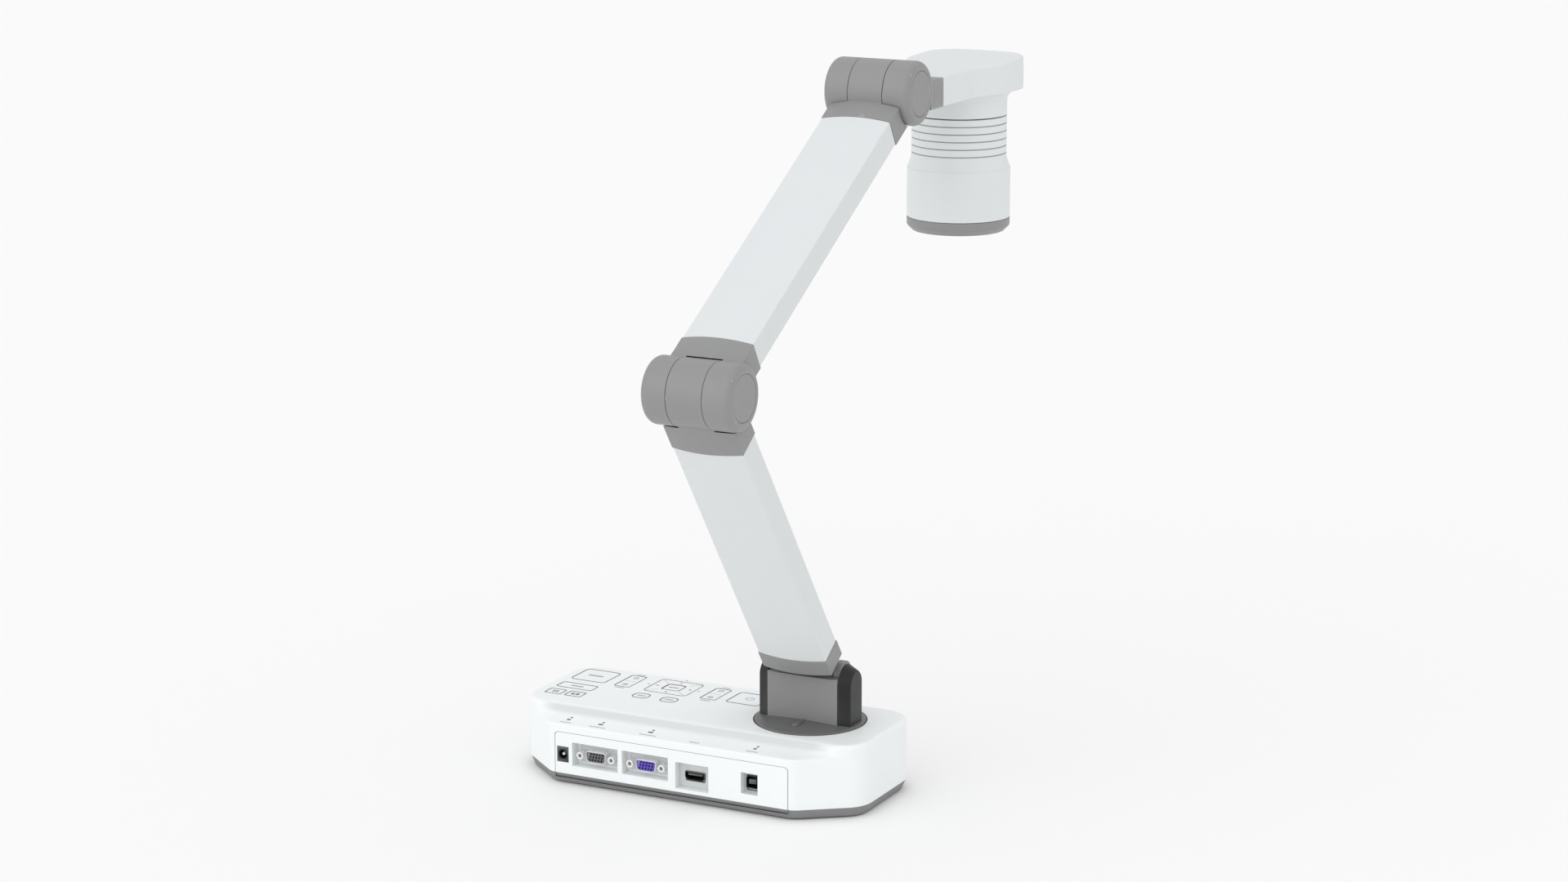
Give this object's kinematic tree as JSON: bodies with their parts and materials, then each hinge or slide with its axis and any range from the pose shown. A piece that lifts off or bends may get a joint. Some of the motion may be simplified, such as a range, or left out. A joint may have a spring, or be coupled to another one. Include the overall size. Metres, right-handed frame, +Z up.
{
  "type": "document camera",
  "caption": "Desktop document camera: a low base with keys and rear sockets, a swivelling turret, a folding arm of two sections and a tilting camera head with a turning barrel.",
  "frame": {"origin": "on the table, under the middle of the base, at the bottom face of the centre foot", "axes": "+X to the user's right along the base, +Y to the back where the sockets are, +Z up"},
  "size_m": [0.268, 0.4698, 0.5016],
  "materials": {
    "casing_white": "fine moulded texture",
    "key_white": "smooth satin",
    "trim_grey": "satin grey",
    "tray_grey": "moulded texture",
    "ear_charcoal": "dark satin",
    "black_plastic": "black moulded",
    "socket_grey": "dark grey insert",
    "socket_blue": "blue violet insert",
    "frame_grey": "plain moulded",
    "rubber_black": "rubber",
    "mat_silicone": "silicone sheet",
    "bright_metal": "nickel plated",
    "steel": "zinc plated steel",
    "aluminium": "extruded aluminium",
    "ballast": "painted cast plate",
    "board_green": "circuit board",
    "lens_glass": "coated lens"
  },
  "bodies": {
    "base": {"base_shell": "casing_white", "port_panel": "casing_white", "base_tray": "tray_grey", "rubber_feet": "rubber_black", "tray_screws": "steel", "ballast_plate": "ballast", "main_board": "board_green", "dc_jack": "black_plastic", "dc_pin": "bright_metal", "vga_shells": "bright_metal", "vga_insert_grey": "socket_grey", "vga_insert_blue": "socket_blue", "jackscrews": "bright_metal", "hdmi_shell": "black_plastic", "usb_shell": "black_plastic", "socket_tongues": "black_plastic", "key_frame": "frame_grey", "key_mat": "mat_silicone", "turret_bearing": "black_plastic"},
    "turret": {"turret_disc": "trim_grey", "turret_block": "trim_grey", "ear_cover_right": "ear_charcoal", "ear_cover_left": "ear_charcoal", "swivel_collar": "steel", "lower_hinge_pin": "steel", "lower_hinge_washers": "steel"},
    "lower_arm": {"lower_foot_cap": "trim_grey", "lower_sleeve": "casing_white", "lower_spine": "aluminium", "lower_elbow_cap": "trim_grey"},
    "upper_arm": {"upper_elbow_yoke": "trim_grey", "elbow_discs": "trim_grey", "elbow_pin": "steel", "elbow_washers": "steel", "upper_sleeve": "casing_white", "upper_spine": "aluminium", "upper_head_cap": "trim_grey"},
    "head": {"head_bracket": "trim_grey", "head_discs": "trim_grey", "head_pin": "steel", "head_washers": "steel", "head_cover": "casing_white", "camera_retainer": "steel"},
    "camera": {"camera_barrel": "casing_white", "lens_ring": "trim_grey", "lens_tube": "black_plastic", "lens_glass": "lens_glass", "camera_board": "board_green"},
    "key_large_body": {"key_large": "key_white"},
    "key_wide_body": {"key_wide": "key_white"},
    "key_small_1_body": {"key_small_1": "key_white"},
    "key_small_2_body": {"key_small_2": "key_white"},
    "key_small_3_body": {"key_small_3": "key_white"},
    "key_small_4_body": {"key_small_4": "key_white"},
    "key_enter_body": {"key_enter": "key_white"},
    "key_power_body": {"key_power": "key_white"},
    "rocker_key_1_body": {"rocker_key_1": "key_white"},
    "rocker_key_2_body": {"rocker_key_2": "key_white"},
    "nav_pivot_body": {"nav_pivot": "frame_grey"},
    "nav_ring_body": {"nav_ring": "key_white"}
  },
  "joints": [
    {"name": "turret_swivel", "type": "hinge", "parent": "base", "child": "turret", "pos_m": [-0.0736, -0.001, 0.05], "axis": [0, 0, 1], "range_deg": [-90, 90]},
    {"name": "lower_arm_tilt", "type": "hinge", "parent": "turret", "child": "lower_arm", "pos_m": [-0.0736, -0.002, 0.0885], "axis": [1, 0, 0], "range_deg": [-22, 50]},
    {"name": "elbow_fold", "type": "hinge", "parent": "lower_arm", "child": "upper_arm", "pos_m": [-0.0736, 0.15869, 0.31462], "axis": [1, 0, 0], "range_deg": [-80, 45]},
    {"name": "head_tilt", "type": "hinge", "parent": "upper_arm", "child": "head", "pos_m": [-0.0736, -0.10543, 0.47904], "axis": [-1, 0, 0], "range_deg": [-66, 90]},
    {"name": "camera_turn", "type": "hinge", "parent": "head", "child": "camera", "pos_m": [-0.0736, -0.24303, 0.4], "axis": [0, 0, 1], "range_deg": [-90, 90]},
    {"name": "key_large_press", "type": "slide", "parent": "base", "child": "key_large_body", "axis": [0, 0, -1], "range_m": [0, 0.0006], "stiffness_N_per_m": 500},
    {"name": "key_wide_press", "type": "slide", "parent": "base", "child": "key_wide_body", "axis": [0, 0, -1], "range_m": [0, 0.0006], "stiffness_N_per_m": 500},
    {"name": "key_small_1_press", "type": "slide", "parent": "base", "child": "key_small_1_body", "axis": [0, 0, -1], "range_m": [0, 0.0006], "stiffness_N_per_m": 500},
    {"name": "key_small_2_press", "type": "slide", "parent": "base", "child": "key_small_2_body", "axis": [0, 0, -1], "range_m": [0, 0.0006], "stiffness_N_per_m": 500},
    {"name": "key_small_3_press", "type": "slide", "parent": "base", "child": "key_small_3_body", "axis": [0, 0, -1], "range_m": [0, 0.0006], "stiffness_N_per_m": 500},
    {"name": "key_small_4_press", "type": "slide", "parent": "base", "child": "key_small_4_body", "axis": [0, 0, -1], "range_m": [0, 0.0006], "stiffness_N_per_m": 500},
    {"name": "key_enter_press", "type": "slide", "parent": "base", "child": "key_enter_body", "axis": [0, 0, -1], "range_m": [0, 0.0006], "stiffness_N_per_m": 500},
    {"name": "key_power_press", "type": "slide", "parent": "base", "child": "key_power_body", "axis": [0, 0, -1], "range_m": [0, 0.0006], "stiffness_N_per_m": 500},
    {"name": "rocker_key_1_rock", "type": "hinge", "parent": "base", "child": "rocker_key_1_body", "pos_m": [0.082, -0.0225, 0.0464], "axis": [1, 0, 0], "range_deg": [-2, 2], "stiffness_Nm_per_rad": 0.15},
    {"name": "rocker_key_2_rock", "type": "hinge", "parent": "base", "child": "rocker_key_2_body", "pos_m": [0.0123, -0.0222, 0.0464], "axis": [1, 0, 0], "range_deg": [-2, 2], "stiffness_Nm_per_rad": 0.15},
    {"name": "nav_fore_aft", "type": "hinge", "parent": "base", "child": "nav_pivot_body", "pos_m": [0.0467, -0.0228, 0.0458], "axis": [1, 0, 0], "range_deg": [-1.5, 1.5], "stiffness_Nm_per_rad": 0.2},
    {"name": "nav_left_right", "type": "hinge", "parent": "nav_pivot_body", "child": "nav_ring_body", "pos_m": [0.0467, -0.0228, 0.0458], "axis": [0, 1, 0], "range_deg": [-1.5, 1.5], "stiffness_Nm_per_rad": 0.2}
  ]
}
